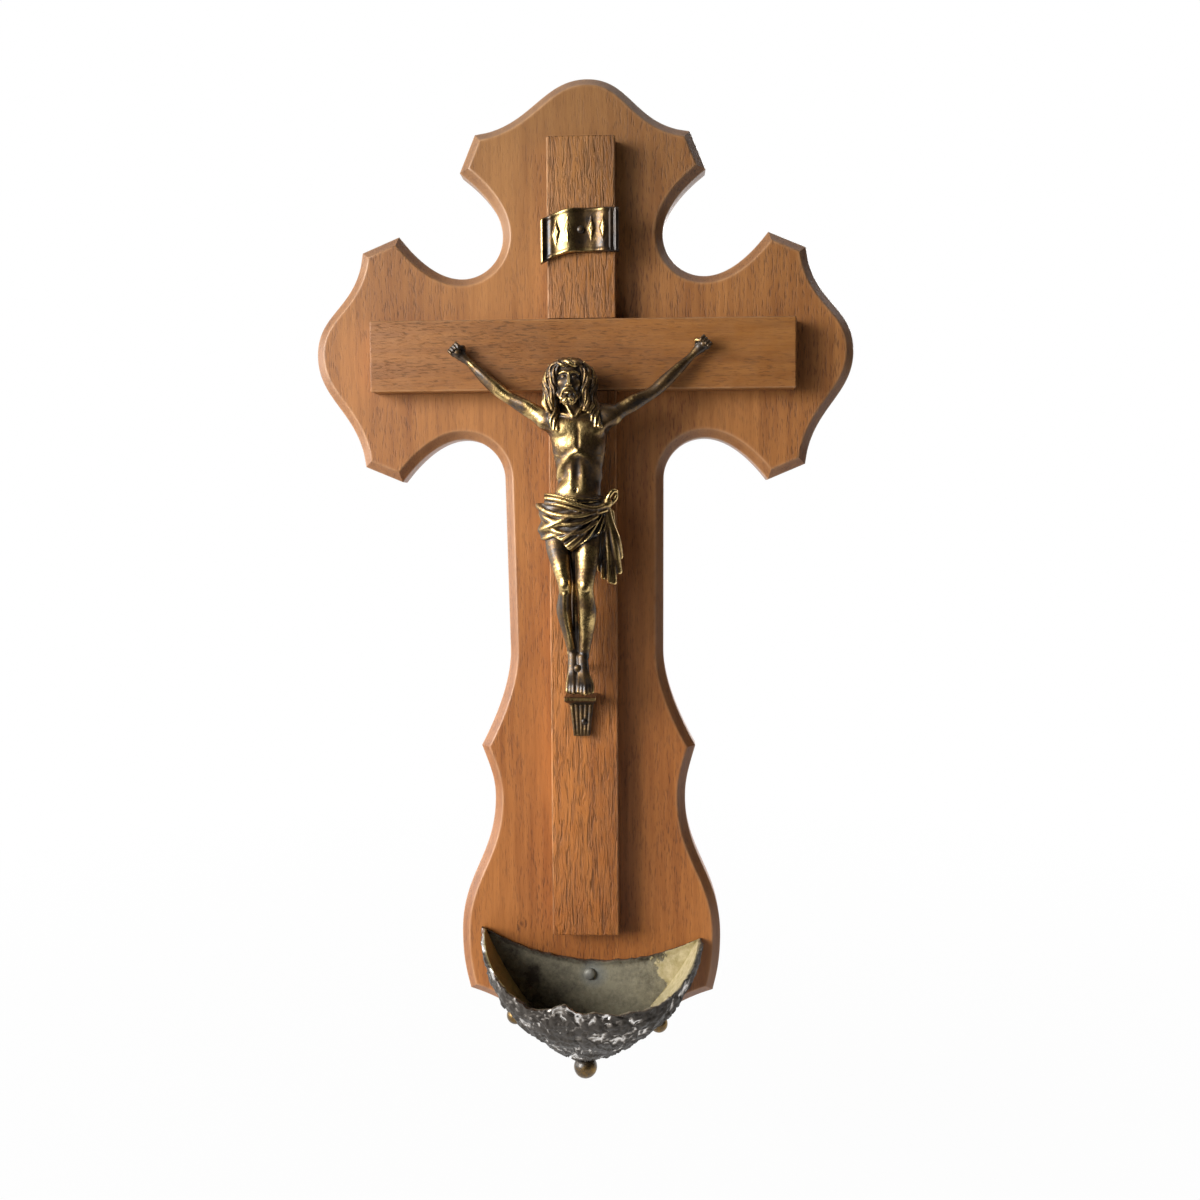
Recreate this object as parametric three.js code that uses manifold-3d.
// A wall crucifix with a holy water stoup: a cross-shaped board carries a cross of two strips,
// a cast figure, a title scroll and a cast bowl. Millimetres, +Z up, the front faces -Y.
// The origin is on the board's back face, behind the crossing of the two strips.
import * as THREE from 'three';
import { mergeVertices } from 'three/addons/utils/BufferGeometryUtils.js';
import Module from 'manifold-3d';

const wasm = await Module();
wasm.setup();

// Fit between neighbouring pieces
const GAP = 0.3;
const OVERCUT = 2;

// Back board: three equal lobes, a shaft and a broad foot, sawn by hand a little off the cross's axis
const BOARD_THICKNESS = 12;
const BOARD_CHAMFER = 3;
const LOBE_REACH = 95.6;
const CROWN_SHIFT = 1.7;
const LOBE_TIP_REACH = 78.7;
const LOBE_TIP_WIDTH = 76;
const NOTCH_TIP_REACH = 65.5;
const NOTCH_TIP_WIDTH = 87;
const NOTCH_CENTRE = 43;
const NOTCH_RADIUS = 14.6;
const OGEE_SLOPE = THREE.MathUtils.degToRad(6);
const SHAFT_WIDTH = 55.2;
const WAIST_DROP = 139;
const WAIST_WIDTH = 77.5;
const FOOT_HEIGHT = 110;
const FOOT_NECK_WIDTH = 69;
const FOOT_BULGE_WIDTH = 94.4;
const FOOT_CORNER_WIDTH = 88.8;
const FOOT_SHIFT = 1.3;
const FOOT_OGEE_SLOPE = THREE.MathUtils.degToRad(17);
const CURVE_STEPS = 9;

// Cross of two half-lapped strips
const UPRIGHT_WIDTH = 23.8;
const UPRIGHT_THICKNESS = 8;
const UPRIGHT_RISE = 74.9;
const BAR_WIDTH = 24.6;
const BAR_PROUD = 1;
const BAR_LENGTH = 148.6;
const LAP_SHARE = 0.5;

// Title scroll, a thin waved plate
const SCROLL_WIDTH = 27;
const SCROLL_OFFSET = -0.4;
const SCROLL_HEIGHT = 15.2;
const SCROLL_THICKNESS = 1.4;
const SCROLL_WAVE = 2.4;
const SCROLL_DROOP = 4;
const SCROLL_RISE = 42.4;

// Figure, drawn at this height from crown to toes
const FIGURE_DRAWN_HEIGHT = 116;
const FIGURE_HEIGHT = 116;
const FIGURE_TOP = -2;
const ARM_JOINT = 12.6;

// Bracket under the feet
const LEDGE_WIDTH = 11.8;
const LEDGE_THICKNESS = 2.8;
const BRACKET_DROP = 15;
const BRACKET_TOP_WIDTH = 9;
const BRACKET_END_WIDTH = 5.8;
const BRACKET_THICKNESS = 2.6;

// Bowl, hung on one nail and a little turned on it
const BOWL_WIDTH = 79.8;
const BOWL_REACH = 36;
const BOWL_WALL = 1.6;
const BOWL_FLOOR = 4;
const BOWL_OFFSET = 1;
const BOWL_ABOVE_FOOT = 32;
const BOWL_BACK_HEIGHT = 35;
const BOWL_HORN_RISE = 10;
const BOWL_LIP_DROP = 6.5;
const BOWL_ROUNDNESS = 0.76;
const BOWL_TURN = THREE.MathUtils.degToRad(2.8);
const BOWL_NAIL_DROP = 5;
const UPRIGHT_ABOVE_BOWL = 11;
const SIDE_KNOB_RADIUS = 3.5;
const SIDE_KNOB_SPACING = 52;
const SIDE_KNOB_FORWARD = 10.5;
const SIDE_KNOB_DROP = 18.5;
const SIDE_KNOB_NECK = 3;
const BOTTOM_KNOB_RADIUS = 4.3;
const BOTTOM_KNOB_CLEAR = 1;
const BOTTOM_KNOB_DROP = 3;
const BOTTOM_KNOB_NECK = 6;

// Fasteners
const NAIL_SHANK_RADIUS = 0.7;
const NAIL_HEAD_RADIUS = 1.4;
const NAIL_LENGTH = 5.5;
const BOWL_NAIL_SHANK_RADIUS = 1.1;
const BOWL_NAIL_HEAD_RADIUS = 2.25;
const BOWL_NAIL_BOARD_SHARE = 0.75;
const SCREW_SHANK_RADIUS = 1.6;
const SCREW_HEAD_RADIUS = 3.3;
const SCREW_STRIP_SHARE = 0.5;
const HANGER_SCREW_SHANK_RADIUS = 1.2;
const HANGER_SCREW_HEAD_RADIUS = 2.4;
const HANGER_SCREW_BOARD_SHARE = 0.7;

// Keyhole hanger, let into the board's back
const HANGER_WIDTH = 15;
const HANGER_HEIGHT = 38;
const HANGER_THICKNESS = 1.5;
const HANGER_BELOW_CROWN = 28;
const KEYHOLE_RADIUS = 4.6;
const KEYHOLE_SLOT_WIDTH = 4.6;
const KEYHOLE_SLOT_RISE = 9;
const KEYHOLE_POCKET_SHARE = 0.45;

// Places that follow from the sizes
const boardFront = -BOARD_THICKNESS;
const uprightFront = boardFront - UPRIGHT_THICKNESS;
const barFront = uprightFront - BAR_PROUD;
const figurePlane = barFront;
const footCrown = -WAIST_DROP - FOOT_HEIGHT;
const bowlRim = footCrown + BOWL_ABOVE_FOOT;
const bowlBottom = bowlRim - BOWL_BACK_HEIGHT;
const bowlNailHeight = bowlRim - BOWL_NAIL_DROP;
const uprightBottom = bowlRim + UPRIGHT_ABOVE_BOWL;
const figureScale = FIGURE_HEIGHT / FIGURE_DRAWN_HEIGHT;

// Solids

// Turns a mesh round if its faces point inwards.
function facingOut(geometry) {
  const position = geometry.attributes.position;
  const index = geometry.index.array;
  const corner = [0, 1, 2].map(() => new THREE.Vector3());
  let volume = 0;
  for (let i = 0; i < index.length; i += 3) {
    corner.forEach((point, k) => point.fromBufferAttribute(position, index[i + k]));
    volume += corner[0].dot(corner[1].clone().cross(corner[2]));
  }
  if (volume < 0) {
    geometry.setIndex(Array.from(index).reverse());
  }
  return geometry;
}

function solidOf(geometry) {
  const bare = geometry.clone();
  bare.deleteAttribute('normal');
  bare.deleteAttribute('uv');
  const merged = facingOut(mergeVertices(bare, 1e-4));
  return new wasm.Manifold(new wasm.Mesh({
    numProp: 3,
    vertProperties: new Float32Array(merged.attributes.position.array),
    triVerts: new Uint32Array(merged.index.array),
  }));
}

function geometryOf(solid) {
  const mesh = solid.getMesh();
  const geometry = new THREE.BufferGeometry();
  geometry.setAttribute('position', new THREE.BufferAttribute(mesh.vertProperties, 3));
  geometry.setIndex(new THREE.BufferAttribute(mesh.triVerts, 1));
  geometry.computeVertexNormals();
  return geometry;
}

// Joins a row of equal rings into one closed skin, with a pole at each end.
function skin(rings) {
  const sides = rings[0].length;
  const pole = (ring) => ring.reduce((sum, p) => sum.add(p), new THREE.Vector3()).divideScalar(sides);
  const points = [...rings.flat(), pole(rings[0]), pole(rings.at(-1))];
  const first = rings.length * sides;
  const index = [];
  for (let j = 0; j < sides; j += 1) {
    const next = (j + 1) % sides;
    const last = (rings.length - 1) * sides;
    index.push(first, next, j, first + 1, last + j, last + next);
    for (let i = 0; i < rings.length - 1; i += 1) {
      const here = i * sides;
      const there = here + sides;
      index.push(here + j, here + next, there + next, here + j, there + next, there + j);
    }
  }
  const geometry = new THREE.BufferGeometry().setFromPoints(points);
  geometry.setIndex(index);
  return geometry;
}

function box(low, high) {
  const size = new THREE.Vector3().subVectors(high, low);
  const geometry = new THREE.BoxGeometry(size.x, size.y, size.z);
  const centre = new THREE.Vector3().addVectors(low, high).multiplyScalar(0.5);
  return solidOf(geometry.translate(centre.x, centre.y, centre.z));
}

const point = (x, y, z) => new THREE.Vector3(x, y, z);

// A flat plate whose outline is drawn in X and Z; it grows forward from the height of its back.
function plate(outline, thickness, back, edge = {}) {
  const shape = new THREE.ExtrudeGeometry(outline, { depth: thickness, bevelEnabled: false, ...edge });
  return shape.rotateX(Math.PI / 2).translate(0, back, 0);
}

// A round piece about an axis along Y; the profile lists [radius, distance behind the place].
function turned(profile, x, y, z, sides = 16) {
  const outline = profile.map(([radius, depth]) => new THREE.Vector2(radius, depth));
  return solidOf(new THREE.LatheGeometry(outline, sides).translate(x, y, z));
}

// A nail with a domed head; its place is the underside of the head. A grown one cuts its hole.
function nail(x, y, z, head, shank, length, grow = 0) {
  const dome = [[0, -0.7], [0.5, -0.6], [0.87, -0.35], [1, 0]];
  const profile = dome.map(([radius, depth]) => [radius * (head + grow), depth * (head + grow)]);
  const wide = shank + grow;
  const tip = length + grow;
  return turned([...profile, [wide, 0], [wide, tip - wide], [0, tip]], x, y, z);
}

// A countersunk screw driven from behind; its place is the middle of the head's flat top.
function screw(x, y, z, head, shank, length, grow = 0) {
  const wide = head + grow;
  const thin = shank + grow;
  const top = grow > 0 ? OVERCUT : 0;
  const sink = -(head - shank);
  const end = -length - grow;
  return turned([[0, end], [thin, end + thin], [thin, sink], [wide, 0], [wide, top], [0, top]], x, y, z);
}

// A limb of round section through stations of [x, forward, height, radius] in the figure's own drawing.
function limb(stations, sides = 10, stepsPerSpan = 2) {
  const path = new THREE.CatmullRomCurve3(stations.map(([x, forward, height]) => onFigure(x, forward, height)));
  const count = (stations.length - 1) * stepsPerSpan;
  const rings = [];
  const ringAt = (t, along, swell) => {
    const span = Math.min(t * (stations.length - 1), stations.length - 1 - 1e-9);
    const low = Math.floor(span);
    const radius = THREE.MathUtils.lerp(stations[low][3], stations[low + 1][3], span - low) * figureScale;
    const tangent = path.getTangent(t);
    const side = new THREE.Vector3().crossVectors(tangent, point(0, 1, 0)).normalize();
    const up = new THREE.Vector3().crossVectors(side, tangent);
    const centre = path.getPoint(t).addScaledVector(tangent, along * radius);
    const ring = [];
    for (let j = 0; j < sides; j += 1) {
      const angle = (2 * Math.PI * j) / sides;
      const spoke = side.clone().multiplyScalar(Math.cos(angle)).addScaledVector(up, Math.sin(angle));
      ring.push(centre.clone().addScaledVector(spoke, radius * swell));
    }
    rings.push(ring);
  };
  ringAt(0, -0.7, 0.65);
  for (let i = 0; i <= count; i += 1) {
    ringAt(i / count, 0, 1);
  }
  ringAt(1, 0.7, 0.65);
  return solidOf(skin(rings));
}

// A body of oval sections; each one is [height, x, forward, half width, half depth], with lobes as folds.
function stack(sections, sides = 18, lobes = 0, lobeDepth = 0) {
  const rings = sections.map(([height, x, forward, halfWidth, halfDepth]) => {
    const ring = [];
    for (let j = 0; j < sides; j += 1) {
      const angle = (2 * Math.PI * j) / sides;
      const swell = 1 + lobeDepth * Math.cos(lobes * angle);
      const across = x + halfWidth * swell * Math.cos(angle);
      ring.push(onFigure(across, forward + halfDepth * swell * Math.sin(angle), height));
    }
    return ring;
  });
  return solidOf(skin(rings));
}

// A place in the figure's own drawing: across, forward of the cross and below the crown.
function onFigure(x, forward, height) {
  const k = figureScale;
  return point(x * k, figurePlane - forward * k, FIGURE_TOP + height * k);
}

function union(solids) {
  return solids.reduce((whole, next) => whole.add(next));
}

// Back board

// One half of the outline, from the top crown to the bottom one; side is 1 on the right, -1 on the left.
function boardHalf(side) {
  const half = new THREE.Path();
  const crownPull = 0.42;
  const flankPull = 0.52;
  const lobeTip = LOBE_TIP_WIDTH / 2;
  const notchTip = NOTCH_TIP_WIDTH / 2;
  const notchFloor = NOTCH_CENTRE - NOTCH_RADIUS;
  const notchTurn = THREE.MathUtils.lerp(NOTCH_CENTRE, NOTCH_TIP_REACH, 0.48);
  const flankIn = flankPull * lobeTip * Math.cos(OGEE_SLOPE);
  const flankUp = flankPull * lobeTip * Math.sin(OGEE_SLOPE);
  const topCrown = side * CROWN_SHIFT;
  const footAxis = side * FOOT_SHIFT;
  const shaft = SHAFT_WIDTH / 2 + 0.4 * footAxis;
  const waist = WAIST_WIDTH / 2 + 0.6 * footAxis;
  const neck = FOOT_NECK_WIDTH / 2 + footAxis;
  const bulge = FOOT_BULGE_WIDTH / 2 + footAxis;
  const corner = FOOT_CORNER_WIDTH / 2 + footAxis;
  const cornerPull = flankPull * FOOT_CORNER_WIDTH / 2;
  const footLevel = (share) => -WAIST_DROP - share * FOOT_HEIGHT;

  // Top lobe, from its crown to the notch
  half.moveTo(topCrown, LOBE_REACH + CROWN_SHIFT);
  half.bezierCurveTo(topCrown + crownPull * lobeTip, LOBE_REACH + CROWN_SHIFT, lobeTip - flankIn,
    LOBE_TIP_REACH + flankUp, lobeTip, LOBE_TIP_REACH);
  half.lineTo(notchTip, NOTCH_TIP_REACH);
  half.quadraticCurveTo(notchFloor, notchTurn, notchFloor, NOTCH_CENTRE);
  half.absarc(NOTCH_CENTRE, NOTCH_CENTRE, NOTCH_RADIUS, Math.PI, 1.5 * Math.PI, false);

  // Side lobe, from the upper notch to the lower one
  half.quadraticCurveTo(notchTurn, notchFloor, NOTCH_TIP_REACH, notchTip);
  half.lineTo(LOBE_TIP_REACH, lobeTip);
  half.bezierCurveTo(LOBE_TIP_REACH + flankUp, lobeTip - flankIn,
    LOBE_REACH, CROWN_SHIFT + crownPull * lobeTip, LOBE_REACH, CROWN_SHIFT);
  half.bezierCurveTo(LOBE_REACH, CROWN_SHIFT - crownPull * lobeTip, LOBE_TIP_REACH + flankUp,
    flankIn - lobeTip, LOBE_TIP_REACH, -lobeTip);
  half.lineTo(NOTCH_TIP_REACH, -notchTip);
  half.quadraticCurveTo(notchTurn, -notchFloor, NOTCH_CENTRE, -notchFloor);
  half.absarc(NOTCH_CENTRE, -NOTCH_CENTRE, NOTCH_RADIUS, 0.5 * Math.PI, Math.PI, false);

  // Shaft, flaring to the waist tips
  half.lineTo(shaft, -0.75 * WAIST_DROP);
  half.quadraticCurveTo(shaft, -0.85 * WAIST_DROP, waist, -WAIST_DROP);

  // Foot: neck, bulge, corner and bottom ogee
  half.bezierCurveTo(waist - 0.6 * (waist - neck), footLevel(0.07), neck, footLevel(0.11),
    neck, footLevel(0.17));
  half.bezierCurveTo(neck, footLevel(0.37), bulge, footLevel(0.43), bulge, footLevel(0.63));
  half.bezierCurveTo(bulge, footLevel(0.72), corner + 0.5 * (bulge - corner), footLevel(0.77),
    corner, footLevel(0.82));
  half.bezierCurveTo(corner - cornerPull * Math.cos(FOOT_OGEE_SLOPE),
    footLevel(0.82) - cornerPull * Math.sin(FOOT_OGEE_SLOPE),
    footAxis + crownPull * FOOT_CORNER_WIDTH / 2, footCrown, footAxis, footCrown);
  return half.getPoints(CURVE_STEPS);
}

function boardOutline() {
  const left = boardHalf(-1).slice(1, -1).reverse();
  return new THREE.Shape([...boardHalf(1), ...left.map((p) => new THREE.Vector2(-p.x, p.y))]);
}

function makeBoard() {
  const chamfer = {
    bevelEnabled: true,
    bevelThickness: BOARD_CHAMFER,
    bevelSize: BOARD_CHAMFER,
    bevelOffset: -BOARD_CHAMFER,
    bevelSegments: 1,
  };
  const blank = solidOf(plate(boardOutline(), BOARD_THICKNESS - BOARD_CHAMFER, 0, chamfer));
  const far = 10 * LOBE_REACH;
  return blank.subtract(box(point(-far, 0, -far), point(far, far, far)));
}

// Cross

function makeUpright() {
  const half = UPRIGHT_WIDTH / 2;
  const lap = LAP_SHARE * UPRIGHT_THICKNESS;
  const strip = box(point(-half, uprightFront, uprightBottom), point(half, boardFront, UPRIGHT_RISE));
  const seat = BAR_WIDTH / 2 + GAP;
  return strip.subtract(box(point(-half - OVERCUT, uprightFront - OVERCUT, -seat),
    point(half + OVERCUT, boardFront - lap, seat)));
}

function makeBar() {
  const half = BAR_WIDTH / 2;
  const lap = LAP_SHARE * UPRIGHT_THICKNESS;
  const strip = box(point(-BAR_LENGTH / 2, barFront, -half), point(BAR_LENGTH / 2, boardFront, half));
  const seat = UPRIGHT_WIDTH / 2 + GAP;
  return strip.subtract(box(point(-seat, boardFront - lap, -half - OVERCUT),
    point(seat, boardFront + OVERCUT, half + OVERCUT)));
}

// Title scroll

// The sheet runs across as u from -1 to 1: it bows forward to both ends, and its left end droops.
function scrollPoint(u, v, behind) {
  const bow = SCROLL_WAVE * Math.sin(0.5 * Math.PI * u) ** 2 * (u < 0 ? 1 : 0.7);
  const droop = u < 0 ? SCROLL_DROOP * u * u : 0;
  const forward = GAP + SCROLL_THICKNESS + bow - behind;
  return point(SCROLL_OFFSET + u * SCROLL_WIDTH / 2, uprightFront - forward, SCROLL_RISE - droop + v * SCROLL_HEIGHT / 2);
}

function makeScroll() {
  const columns = 20;
  const rings = [];
  for (let i = 0; i <= columns; i += 1) {
    const u = -1 + (2 * i) / columns;
    rings.push([scrollPoint(u, 1, 0), scrollPoint(u, -1, 0), scrollPoint(u, -1, SCROLL_THICKNESS),
      scrollPoint(u, 1, SCROLL_THICKNESS)]);
  }
  return solidOf(skin(rings));
}

// Figure

// Each arm runs from inside the shoulder to the closed hand; the two differ a little.
const leftArm = [
  [-8.5, 7, -21.5, 3.4], [-13.5, 6.6, -19.2, 3.1], [-19, 5.6, -16.2, 2.9], [-25.5, 4.4, -12.8, 2.5],
  [-32, 3.6, -7.2, 2.5], [-38, 2.7, -1.6, 1.7], [-40.6, 2.4, 0.4, 1.6], [-42.6, 2.5, 2.3, 2.5],
  [-44.3, 2.3, 4.2, 2.1],
];
const rightArm = [
  [7.5, 7, -20.3, 3.4], [12.5, 6.6, -18, 3.1], [18, 5.6, -15, 2.9], [24.3, 4.4, -11.8, 2.5],
  [31.5, 3.6, -5.6, 2.5], [37, 2.7, -0.4, 1.7], [39.4, 2.4, 2, 1.6], [42, 2.5, 4.2, 2.5],
  [43.9, 2.3, 6.2, 2.1],
];

function makeHead() {
  const skull = stack([
    [-0.2, -3.4, 9.6, 2.2, 2.4], [-1.4, -3.4, 9.8, 4.6, 5.2], [-4, -3.4, 10.2, 6.2, 7],
    [-8, -3.5, 10.8, 6.2, 7.2], [-12, -3.6, 11.4, 5.4, 6.6], [-15, -3.8, 12.4, 4.4, 5.6],
    [-17.6, -4, 13.6, 2.6, 3.2], [-18.8, -4, 14, 1.2, 1.4],
  ]);
  const nose = limb([[-3.5, 17, -7, 0.8], [-3.6, 18.3, -10.2, 1.1]], 8);
  const neck = limb([[-3.2, 9.4, -13, 4], [-2.2, 7.6, -21, 4.4]]);
  const leftLock = limb([[-8.6, 10, -4, 2.6], [-10, 10, -9, 3], [-9.6, 9.4, -15, 2.7], [-8, 9.8, -21, 2],
    [-7.6, 11, -24.5, 1.2]], 8);
  const rightLock = limb([[2.4, 9.6, -4, 2.6], [3.4, 9.4, -9, 2.8], [4, 9, -15, 2.5], [5.4, 9.6, -20, 2],
    [5.8, 10.8, -23, 1.2]], 8);
  const crownSteps = 12;
  const crownRings = [];
  for (let i = 0; i <= crownSteps; i += 1) {
    const angle = (2 * Math.PI * i) / crownSteps;
    const lift = -4.4 + 0.9 * Math.cos(angle) - 0.6 * Math.sin(angle);
    crownRings.push([-3.4 + 6.9 * Math.cos(angle), 10 + 7.6 * Math.sin(angle), lift, 1.4]);
  }
  const crown = limb(crownRings, 8, 1);
  return union([skull, nose, neck, leftLock, rightLock, crown]);
}

function makeTrunk() {
  const chest = stack([
    [-18, -1.6, 7, 5, 3], [-20, -1.2, 7, 9, 4.8], [-24.5, -0.7, 7.2, 10, 5.8], [-30, -0.3, 7.2, 9.6, 6],
    [-36, 0, 6.8, 8.7, 5.4], [-42, 0.1, 6.4, 7.7, 4.7], [-47, -0.6, 6.4, 8.1, 5], [-53, -1.5, 6.6, 9.2, 5.6],
    [-60, -2.2, 6.8, 9.4, 5.6],
  ]);
  const cloth = stack([
    [-46.8, -1.8, 6.8, 9, 5.6], [-49, -2.1, 7, 10.8, 6.8], [-54, -2.4, 7.2, 11.2, 7.3],
    [-59, -2.8, 7.6, 11, 7.5], [-63, -3, 7.9, 10.6, 7.4], [-65.6, -3.1, 8.2, 8.8, 6.2],
  ], 24, 8, 0.035);
  const knot = limb([[7.2, 8.4, -47.6, 2.2], [9.4, 8, -50.6, 2.4]], 8);
  const drape = limb([[8.8, 6.6, -50, 2.4], [10, 5.8, -58, 2.8], [11.4, 5, -67, 3], [10.8, 4.6, -74.5, 2.4]], 8);
  return union([chest, cloth, knot, drape]);
}

function makeLegs() {
  const left = limb([[-7.6, 7, -56, 4.8], [-7.2, 9.2, -65, 4.3], [-6, 11.8, -76, 3.5], [-5.8, 11.6, -80, 3.4],
    [-5.9, 10.2, -87, 3.3], [-5, 8.2, -95, 2.7], [-3.9, 6.8, -101.5, 2.2], [-3.5, 7.6, -107, 2.5],
    [-3.4, 8.6, -112, 2.4], [-3.2, 8.8, -114.5, 1.7]]);
  const right = limb([[2.6, 7, -56, 4.8], [2.2, 9.4, -66, 4.5], [1.4, 12.4, -77.5, 3.7], [1.3, 12.2, -81.5, 3.6],
    [1.6, 10.6, -88, 3.5], [1.7, 8.8, -95.5, 2.8], [1.2, 8, -102, 2.2], [0.9, 9.4, -107.5, 2.5],
    [1.4, 9.8, -112, 2.4], [1.6, 9.2, -114.5, 1.7]]);
  return union([left, right]);
}

// Everything behind this plane would be inside the cross.
function behindFigure() {
  const far = 10 * FIGURE_HEIGHT;
  return box(point(-far, figurePlane - GAP, -far), point(far, 0, far));
}

// The side of the shoulder joint that lies beyond the given x, to the left or to the right.
function beyond(x, side) {
  const far = side * 10 * FIGURE_HEIGHT;
  const low = point(Math.min(x, far), 4 * figurePlane, -4 * FIGURE_HEIGHT);
  return box(low, point(Math.max(x, far), 0, FIGURE_HEIGHT));
}

function makeArm(stations, side) {
  const whole = limb(stations);
  return whole.intersect(beyond(side * (ARM_JOINT * figureScale + GAP), side)).subtract(behindFigure());
}

function makeBody() {
  const whole = union([makeHead(), makeTrunk(), makeLegs(), limb(leftArm), limb(rightArm)]);
  const joint = ARM_JOINT * figureScale;
  const inner = whole.subtract(beyond(-joint, -1).intersect(armSpace(leftArm)));
  return inner.subtract(beyond(joint, 1).intersect(armSpace(rightArm))).subtract(behindFigure());
}

// The room that an arm takes outside the body, a little thicker than the arm.
function armSpace(stations) {
  return limb(stations.map(([x, forward, height, radius]) => [x, forward, height, radius + 2 * GAP]));
}

// Bracket under the feet

const toes = onFigure(-0.8, 9, -116.1);
const ledgeTop = toes.z - GAP;

function makeBracket() {
  const bottom = ledgeTop - LEDGE_THICKNESS;
  const ledge = box(point(toes.x - LEDGE_WIDTH / 2, toes.y - 3 * figureScale, bottom),
    point(toes.x + LEDGE_WIDTH / 2, uprightFront, ledgeTop));
  const outline = new THREE.Shape([
    new THREE.Vector2(toes.x - BRACKET_TOP_WIDTH / 2, ledgeTop - LEDGE_THICKNESS / 2),
    new THREE.Vector2(toes.x + BRACKET_TOP_WIDTH / 2, ledgeTop - LEDGE_THICKNESS / 2),
    new THREE.Vector2(toes.x + BRACKET_END_WIDTH / 2, ledgeTop - BRACKET_DROP),
    new THREE.Vector2(toes.x - BRACKET_END_WIDTH / 2, ledgeTop - BRACKET_DROP),
  ]);
  return ledge.add(solidOf(plate(outline, BRACKET_THICKNESS, uprightFront)));
}

// Bowl

// One ring of the bowl, D-shaped: a round front and a straight back against the board.
// It is drawn about the bowl's own middle; level runs from 0 at the rim to 1 at the bottom.
function bowlRing(level, size) {
  const frontSteps = 36;
  const backSteps = 14;
  const shrink = Math.sin(0.5 * Math.PI * (1 - level)) ** BOWL_ROUNDNESS;
  const halfWidth = size.halfWidth * shrink;
  const ring = [];
  const add = (across, out, rim) => {
    const height = THREE.MathUtils.lerp(rim + size.raise, size.bottom, level);
    ring.push(point(across, boardFront - GAP - size.back - out * size.reach * shrink, height));
  };
  for (let i = 0; i < frontSteps; i += 1) {
    const angle = (Math.PI * i) / frontSteps;
    const horn = Math.cos(angle) ** 4;
    const rim = THREE.MathUtils.lerp(bowlRim - BOWL_LIP_DROP, bowlRim + BOWL_HORN_RISE, horn);
    add(halfWidth * Math.cos(angle), Math.sin(angle), rim);
  }
  for (let i = 0; i < backSteps; i += 1) {
    const share = -1 + (2 * i) / backSteps;
    add(halfWidth * share, 0, bowlRim + BOWL_HORN_RISE * share * share);
  }
  return ring;
}

// Levels lie closer together towards the bottom, where the wall turns in.
const bowlLevels = Array.from({ length: 10 }, (_, i) => Math.sin((0.5 * Math.PI * i) / 10));

const bowlOutside = {
  halfWidth: BOWL_WIDTH / 2,
  reach: BOWL_REACH,
  back: 0,
  bottom: bowlBottom,
  raise: 0,
};
const bowlInside = {
  halfWidth: BOWL_WIDTH / 2 - BOWL_WALL,
  reach: BOWL_REACH - 2 * BOWL_WALL,
  back: BOWL_WALL,
  bottom: bowlBottom + BOWL_FLOOR,
  raise: 0,
};

function turnBowl(solid) {
  const about = point(BOWL_OFFSET, 0, bowlNailHeight);
  const geometry = geometryOf(solid).translate(0, 0, -about.z).rotateY(BOWL_TURN);
  return solidOf(geometry.translate(about.x, 0, about.z));
}

function makeBowl() {
  const inner = bowlLevels.toReversed().map((level) => bowlRing(level, bowlInside));
  const outer = bowlLevels.map((level) => bowlRing(level, bowlOutside));
  return turnBowl(solidOf(skin([...inner, ...outer])));
}

// The bowl's outside as a filled form, a gap larger all round, that the knobs are fitted to.
function bowlRoom() {
  const grown = {
    halfWidth: bowlOutside.halfWidth + GAP,
    reach: bowlOutside.reach + 2 * GAP,
    back: -GAP,
    bottom: bowlOutside.bottom - GAP,
    raise: GAP,
  };
  return turnBowl(solidOf(skin(bowlLevels.map((level) => bowlRing(level, grown)))));
}

// A knob is a ball with a short neck that runs up to the bowl.
function makeKnob(x, forward, height, radius, neck) {
  const ball = new THREE.SphereGeometry(radius, 16, 12);
  const stem = new THREE.CylinderGeometry(0.55 * radius, 0.55 * radius, neck, 12).rotateX(Math.PI / 2);
  const whole = solidOf(ball).add(solidOf(stem.translate(0, 0, neck / 2)));
  const place = geometryOf(whole).translate(x, boardFront - forward, height);
  return turnBowl(solidOf(place)).subtract(bowlRoom());
}

function makeSideKnob(side) {
  const x = side * SIDE_KNOB_SPACING / 2;
  return makeKnob(x, SIDE_KNOB_FORWARD, bowlRim - SIDE_KNOB_DROP, SIDE_KNOB_RADIUS, SIDE_KNOB_NECK);
}

function makeBottomKnob() {
  const forward = BOTTOM_KNOB_RADIUS + BOTTOM_KNOB_CLEAR;
  return makeKnob(0, forward, bowlBottom - BOTTOM_KNOB_DROP, BOTTOM_KNOB_RADIUS, BOTTOM_KNOB_NECK);
}

// Hanger

const hangerHeight = LOBE_REACH - HANGER_BELOW_CROWN;
const hangerScrewOffset = HANGER_HEIGHT / 2 - 5;

function hangerOutline(grow) {
  const half = HANGER_WIDTH / 2 + grow;
  const straight = HANGER_HEIGHT / 2 - HANGER_WIDTH / 2;
  const shape = new THREE.Shape();
  shape.absarc(0, hangerHeight + straight, half, 0, Math.PI, false);
  shape.absarc(0, hangerHeight - straight, half, Math.PI, 2 * Math.PI, false);
  return shape;
}

function keyholeOutline(Kind, grow) {
  const radius = KEYHOLE_RADIUS + grow;
  const slot = KEYHOLE_SLOT_WIDTH / 2 + grow;
  const side = Math.asin(slot / radius);
  const entry = hangerHeight - KEYHOLE_SLOT_RISE / 2;
  const shape = new Kind();
  shape.absarc(0, entry + KEYHOLE_SLOT_RISE, slot, 0, Math.PI, false);
  shape.absarc(0, entry, radius, Math.PI / 2 + side, 2.5 * Math.PI - side, false);
  return shape;
}

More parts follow.
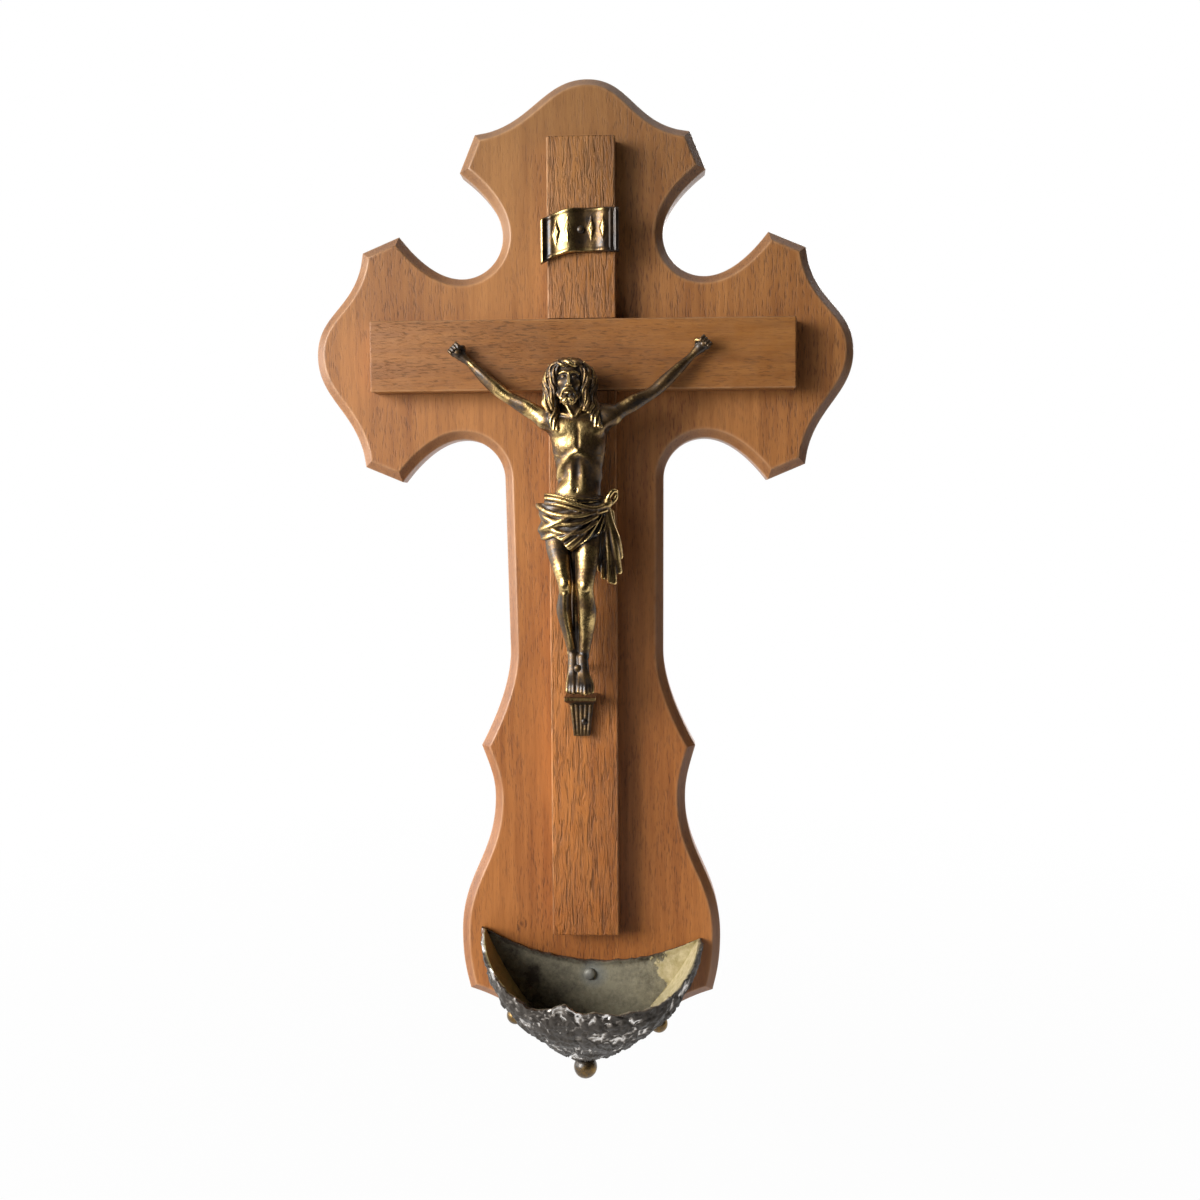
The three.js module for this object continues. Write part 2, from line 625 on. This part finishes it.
function makeHanger() {
  const outline = hangerOutline(0);
  outline.holes.push(keyholeOutline(THREE.Path, 0));
  return solidOf(plate(outline, HANGER_THICKNESS, -GAP));
}

// Recess for the plate, and the deeper pocket for the head of the wall screw
function hangerRecess() {
  const recess = plate(hangerOutline(GAP), HANGER_THICKNESS + GAP + OVERCUT, OVERCUT);
  const room = KEYHOLE_RADIUS + 0.5;
  const depth = -GAP - HANGER_THICKNESS - KEYHOLE_POCKET_SHARE * BOARD_THICKNESS;
  const entry = hangerHeight - KEYHOLE_SLOT_RISE / 2;
  const pocket = box(point(-room, depth, entry - room), point(room, OVERCUT, entry + KEYHOLE_SLOT_RISE + room));
  return solidOf(recess).add(pocket);
}

// Fasteners and the holes they need

function fastener(make, ...sizes) {
  return { body: make(...sizes), hole: make(...sizes, GAP) };
}

const figureNail = (x, forward, height, length) => {
  const place = onFigure(x, forward, height);
  return fastener(nail, place.x, place.y, place.z, NAIL_HEAD_RADIUS, NAIL_SHANK_RADIUS, length);
};
const handGrip = 4.3;
const footGrip = 11.2;
const gripDepth = (grip) => grip * figureScale;
const handNailLeft = figureNail(-42.8, handGrip, 2.6, gripDepth(handGrip) + NAIL_LENGTH);
const handNailRight = figureNail(42.3, handGrip, 4.6, gripDepth(handGrip) + NAIL_LENGTH);
const footNail = figureNail(-1.5, footGrip, -106.4, gripDepth(footGrip) + BAR_PROUD + NAIL_LENGTH);
const bracketNail = fastener(nail, toes.x + 0.9, uprightFront - BRACKET_THICKNESS, ledgeTop - 0.66 * BRACKET_DROP,
  0.8 * NAIL_HEAD_RADIUS, NAIL_SHANK_RADIUS, BRACKET_THICKNESS + NAIL_LENGTH);
const scrollNail = fastener(nail, 0, uprightFront - GAP - SCROLL_THICKNESS, SCROLL_RISE,
  NAIL_HEAD_RADIUS, NAIL_SHANK_RADIUS, GAP + SCROLL_THICKNESS + NAIL_LENGTH);
const bowlNail = fastener(nail, BOWL_OFFSET, boardFront - GAP - BOWL_WALL, bowlNailHeight,
  BOWL_NAIL_HEAD_RADIUS, BOWL_NAIL_SHANK_RADIUS,
  GAP + BOWL_WALL + BOWL_NAIL_BOARD_SHARE * BOARD_THICKNESS);

const crossScrew = (x, z) => fastener(screw, x, -GAP, z, SCREW_HEAD_RADIUS, SCREW_SHANK_RADIUS,
  BOARD_THICKNESS + SCREW_STRIP_SHARE * UPRIGHT_THICKNESS);
const crossScrews = {
  cross_screw_top: crossScrew(0, BAR_WIDTH / 2 + 14),
  cross_screw_bottom: crossScrew(0, uprightBottom + 30),
  cross_screw_left: crossScrew(-BAR_LENGTH / 2 + 14, -BAR_WIDTH / 4),
  cross_screw_right: crossScrew(BAR_LENGTH / 2 - 14, -BAR_WIDTH / 4),
};
const hangerScrew = (z) => fastener(screw, 0, -GAP, z, HANGER_SCREW_HEAD_RADIUS, HANGER_SCREW_SHANK_RADIUS,
  HANGER_SCREW_BOARD_SHARE * BOARD_THICKNESS);
const hangerScrews = {
  hanger_screw_top: hangerScrew(hangerHeight + hangerScrewOffset),
  hanger_screw_bottom: hangerScrew(hangerHeight - hangerScrewOffset),
};

// Pieces with their holes cut

const bore = (solid, fasteners) => fasteners.reduce((rest, { hole }) => rest.subtract(hole), solid);

const backHoles = [...Object.values(crossScrews), ...Object.values(hangerScrews), bowlNail];
const board = bore(makeBoard().subtract(hangerRecess()), backHoles);
const upright = bore(makeUpright(), [...Object.values(crossScrews), scrollNail, footNail, bracketNail]);
const bar = bore(makeBar(), [...Object.values(crossScrews), handNailLeft, handNailRight]);

const wood = { color: 0xb07f55, roughness: 0.62, metalness: 0 };
const stripWood = { color: 0xa87a50, roughness: 0.7, metalness: 0 };
const brass = { color: 0x8f6f35, roughness: 0.38, metalness: 1 };
const brightBrass = { color: 0xb08a3e, roughness: 0.25, metalness: 1 };
const darkMetal = { color: 0x5d5850, roughness: 0.45, metalness: 1 };
const steel = { color: 0x8c8f92, roughness: 0.35, metalness: 1 };

const pieces = {
  back_board: [board, wood],
  cross_upright: [upright, stripWood],
  cross_bar: [bar, stripWood],
  title_scroll: [bore(makeScroll(), [scrollNail]), brass],
  title_nail: [scrollNail.body, brass],
  corpus_body: [bore(makeBody(), [footNail]), brass],
  corpus_arm_left: [bore(makeArm(leftArm, -1), [handNailLeft]), brass],
  corpus_arm_right: [bore(makeArm(rightArm, 1), [handNailRight]), brass],
  hand_nail_left: [handNailLeft.body, brass],
  hand_nail_right: [handNailRight.body, brass],
  foot_nail: [footNail.body, brass],
  foot_bracket: [bore(makeBracket(), [bracketNail]), brass],
  foot_bracket_nail: [bracketNail.body, brass],
  stoup_bowl: [bore(makeBowl(), [bowlNail]), darkMetal],
  bowl_nail: [bowlNail.body, darkMetal],
  bowl_knob_left: [makeSideKnob(-1), brightBrass],
  bowl_knob_right: [makeSideKnob(1), brightBrass],
  bowl_knob_bottom: [makeBottomKnob(), brightBrass],
  hanger_plate: [bore(makeHanger(), Object.values(hangerScrews)), steel],
};
for (const [name, { body }] of Object.entries({ ...crossScrews, ...hangerScrews })) {
  pieces[name] = [body, steel];
}

const stoup = new THREE.Group();
stoup.name = 'holy_water_stoup';
for (const [name, [solid, finish]] of Object.entries(pieces)) {
  const mesh = new THREE.Mesh(geometryOf(solid), new THREE.MeshStandardMaterial(finish));
  mesh.name = name;
  stoup.add(mesh);
}

export default stoup;
